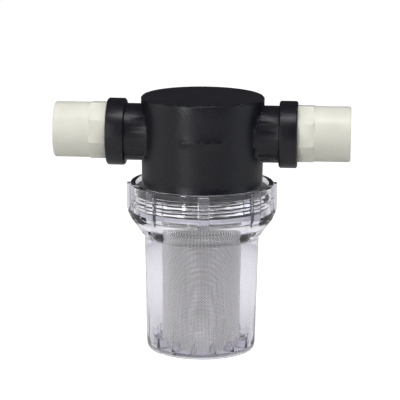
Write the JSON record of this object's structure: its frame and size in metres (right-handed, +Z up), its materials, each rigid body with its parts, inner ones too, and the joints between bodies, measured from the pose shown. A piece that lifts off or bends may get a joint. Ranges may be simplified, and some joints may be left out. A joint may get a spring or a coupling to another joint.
{
  "type": "sea water strainer",
  "caption": "In-line sea water strainer: black head with side ports, clear screw-on bowl, wire screen and white socket adapters.",
  "frame": {"origin": "middle of the bowl's foot, on the surface that it stands on", "axes": "+Z up through the bowl, +X along the pipe run towards the inlet; water leaves at -X"},
  "size_m": [0.1798, 0.093, 0.1565],
  "materials": {
    "black_plastic": "fine moulded satin",
    "clear_plastic": "clear, polished",
    "gasket_rubber": "pale silicone, matt",
    "wire_cloth": "woven stainless wire",
    "white_plastic": "ivory, semi-gloss"
  },
  "bodies": {
    "strainer_head": {"head": "black_plastic", "inlet_adapter": "white_plastic", "outlet_adapter": "white_plastic"},
    "screen": {"screen": "wire_cloth"},
    "bowl": {"bowl": "clear_plastic", "gasket": "gasket_rubber"}
  },
  "joints": [
    {"name": "screen_drop", "type": "slide", "parent": "strainer_head", "child": "screen", "axis": [0, 0, -1], "range_m": [0, 0.01015]},
    {"name": "bowl_turn", "type": "hinge", "parent": "screen", "child": "bowl", "pos_m": [0, 0, 0.095], "axis": [0, 0, -1], "range_deg": [0, 810]}
  ],
  "couplings": [
    {"joint": "screen_drop", "follows": "bowl_turn", "m_per_rad": 0.0007162}
  ]
}
